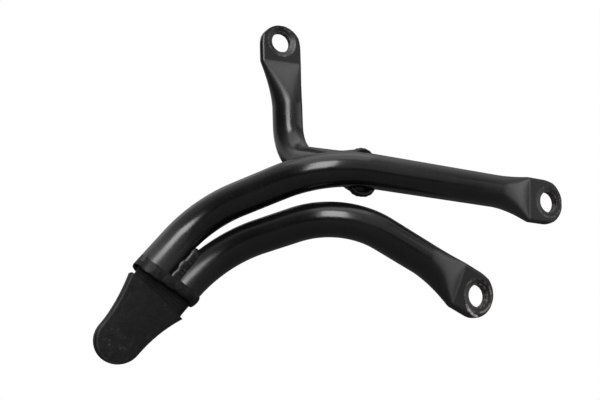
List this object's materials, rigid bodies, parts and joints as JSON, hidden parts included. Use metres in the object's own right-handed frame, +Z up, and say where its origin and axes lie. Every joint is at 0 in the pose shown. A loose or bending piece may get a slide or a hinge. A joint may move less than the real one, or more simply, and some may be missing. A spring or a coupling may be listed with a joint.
{
  "type": "footrest bracket",
  "caption": "Welded bracket of bent black steel tubes with flattened bolt lugs, carrying a flat footrest tongue in a rubber pad.",
  "frame": {"origin": "centre of the upper lug's bolt hole, on the lug's flat mounting face", "axes": "+X along the upper tube's straight leg towards its lug, +Y out of the mounting faces, +Z up"},
  "size_m": [0.284, 0.1045, 0.2293],
  "materials": {
    "tube_paint": "gloss black enamel",
    "stub_paint": "dull black enamel",
    "weld_paint": "gloss black enamel",
    "pad_rubber": "matt moulded rubber"
  },
  "bodies": {
    "root": {"upper_tube": "tube_paint", "lower_tube": "tube_paint", "brace_tube": "tube_paint", "footrest_stub": "stub_paint", "rubber_pad": "pad_rubber", "stub_weld": "weld_paint", "seam_weld": "weld_paint", "brace_weld": "weld_paint"}
  },
  "joints": []
}
